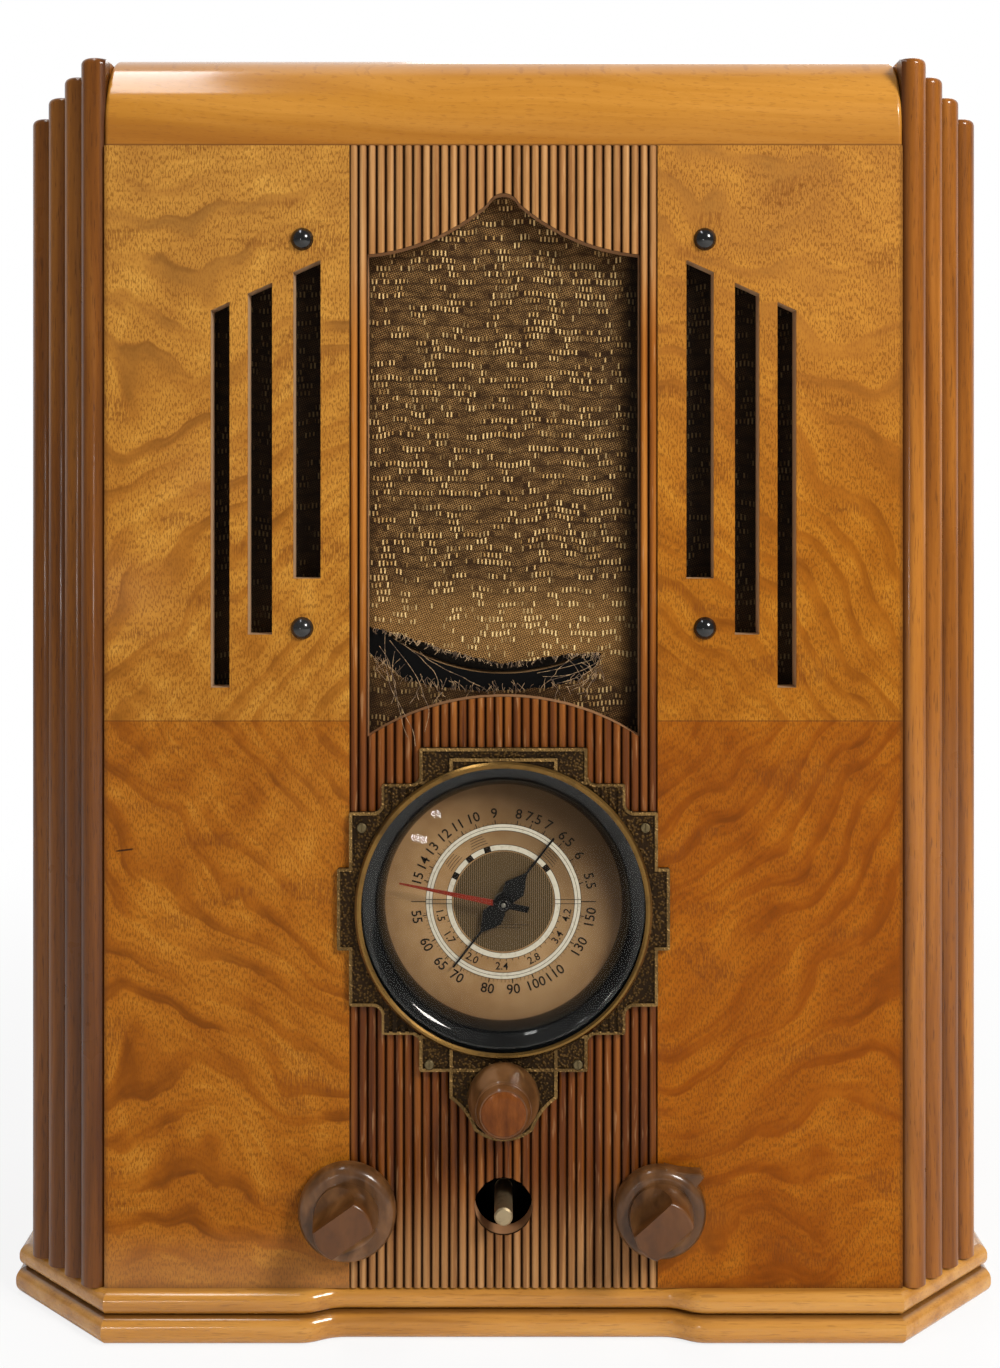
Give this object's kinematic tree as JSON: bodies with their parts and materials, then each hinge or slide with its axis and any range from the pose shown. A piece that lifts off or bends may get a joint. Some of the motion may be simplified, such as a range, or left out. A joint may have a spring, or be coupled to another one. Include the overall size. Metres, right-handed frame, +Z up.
{
  "type": "tombstone radio",
  "caption": "Upright table radio with fluted corners, reeded front, large round dial in a stepped brass plate, knobs, loudspeaker and valve chassis.",
  "frame": {"origin": "middle of the base's underside", "axes": "+Z up; -Y is the front, where the dial and knobs are; +X to the viewer's right"},
  "size_m": [0.3602, 0.2615, 0.453],
  "materials": {
    "moulding_walnut": "satin varnish",
    "cabinet_walnut": "satin varnish",
    "stave_walnut": "gloss varnish",
    "rail_veneer": "gloss varnish",
    "facing_veneer": "satin varnish, figured veneer",
    "reeded_walnut": "satin varnish",
    "plain_board": "unfinished",
    "grille_cloth": "woven, gold slubs",
    "black_enamel": "gloss",
    "red_enamel": "gloss",
    "plated_steel": "dull plating",
    "shaft_steel": "aged",
    "japanned_steel": "satin",
    "cone_paper": "felted",
    "spider_paper": "impregnated",
    "antique_brass": "hammered, antiqued",
    "bright_brass": "polished",
    "dial_black": "gloss",
    "dial_glass": "clear",
    "printed_scale": "aged print",
    "knob_wood": "satin varnish",
    "plate_aluminium": "bare",
    "drawn_aluminium": "dull",
    "chassis_plate": "dull plating",
    "pad_rubber": "aged",
    "valve_base": "moulded",
    "valve_glass": "clear, silvered at the base",
    "socket_board": "punched"
  },
  "bodies": {
    "cabinet": {"base_moulding_lower": "moulding_walnut", "base_moulding_upper": "moulding_walnut", "side_panel_left": "cabinet_walnut", "side_panel_right": "cabinet_walnut", "corner_posts": "plain_board", "flute_staves_left": "stave_walnut", "flute_staves_right": "stave_walnut", "shoulder_mouldings": "cabinet_walnut", "top_panel": "cabinet_walnut", "top_rail": "rail_veneer", "front_panel_left": "facing_veneer", "front_panel_right": "facing_veneer", "reeded_panel": "reeded_walnut", "baffle_board": "plain_board", "grille_cloth": "grille_cloth", "baffle_bolts": "black_enamel", "baffle_nuts": "plated_steel", "speaker_basket": "japanned_steel", "speaker_screws": "plated_steel", "field_magnet": "japanned_steel", "output_transformer": "japanned_steel", "cone_surround": "cone_paper", "spider": "spider_paper", "escutcheon": "antique_brass", "escutcheon_screws": "bright_brass", "dial_bezel": "bright_brass", "dial_mask": "dial_black", "dial_glass": "dial_glass", "dial_scale": "printed_scale", "dial_housing": "plated_steel", "dial_lamps": "bright_brass", "condenser_frame": "plated_steel", "condenser_stator": "plate_aluminium", "chassis_pan": "chassis_plate", "chassis_pads": "pad_rubber", "chassis_bolts": "plated_steel", "volume_control": "plated_steel", "tone_control": "plated_steel", "band_switch": "socket_board", "power_transformer": "japanned_steel", "filter_can": "drawn_aluminium", "if_cans": "drawn_aluminium", "valve_sockets": "socket_board", "valve_bases": "valve_base", "valve_glass": "valve_glass", "valve_shields": "drawn_aluminium", "terminal_strip": "socket_board", "cord_grommet": "pad_rubber"},
    "tuning_gang": {"condenser_rotor": "plate_aluminium", "drive_disc": "bright_brass", "dial_pointer": "black_enamel"},
    "quick_hand": {"log_hand": "red_enamel"},
    "tuning_drive": {"tuning_knob": "knob_wood", "tuning_shaft": "shaft_steel"},
    "volume": {"volume_knob": "knob_wood", "volume_shaft": "shaft_steel"},
    "band": {"band_knob": "knob_wood", "band_shaft": "shaft_steel"},
    "tone": {"tone_shaft": "shaft_steel"},
    "voice_cone": {"speaker_cone": "cone_paper"}
  },
  "joints": [
    {"name": "tuning", "type": "hinge", "parent": "cabinet", "child": "tuning_gang", "pos_m": [0, -0.117, 0.151], "axis": [0, -1, 0], "range_deg": [-49.8, 130.2]},
    {"name": "tuning_knob_turn", "type": "hinge", "parent": "cabinet", "child": "tuning_drive", "pos_m": [0, -0.117, 0.0865], "axis": [0, -1, 0], "range_deg": [-1432.2, 547.8]},
    {"name": "quick_hand_turn", "type": "hinge", "parent": "cabinet", "child": "quick_hand", "pos_m": [0, -0.117, 0.151], "axis": [0, -1, 0], "range_deg": [-597.6, 1562.4]},
    {"name": "volume_turn", "type": "hinge", "parent": "cabinet", "child": "volume", "pos_m": [-0.0544, -0.117, 0.0465], "axis": [0, -1, 0], "range_deg": [-200, 100]},
    {"name": "band_turn", "type": "hinge", "parent": "cabinet", "child": "band", "pos_m": [0.0544, -0.117, 0.0465], "axis": [0, -1, 0], "range_deg": [0, 96]},
    {"name": "tone_turn", "type": "hinge", "parent": "cabinet", "child": "tone", "pos_m": [0, -0.117, 0.0465], "axis": [0, -1, 0], "range_deg": [-150, 150]},
    {"name": "cone_travel", "type": "slide", "parent": "cabinet", "child": "voice_cone", "axis": [0, -1, 0], "range_m": [-0.0015, 0.0015], "stiffness_N_per_m": 1500, "deforming": ["cone_surround", "spider"]}
  ],
  "couplings": [
    {"joint": "tuning_knob_turn", "follows": "tuning", "ratio": -11},
    {"joint": "quick_hand_turn", "follows": "tuning", "ratio": 12}
  ]
}
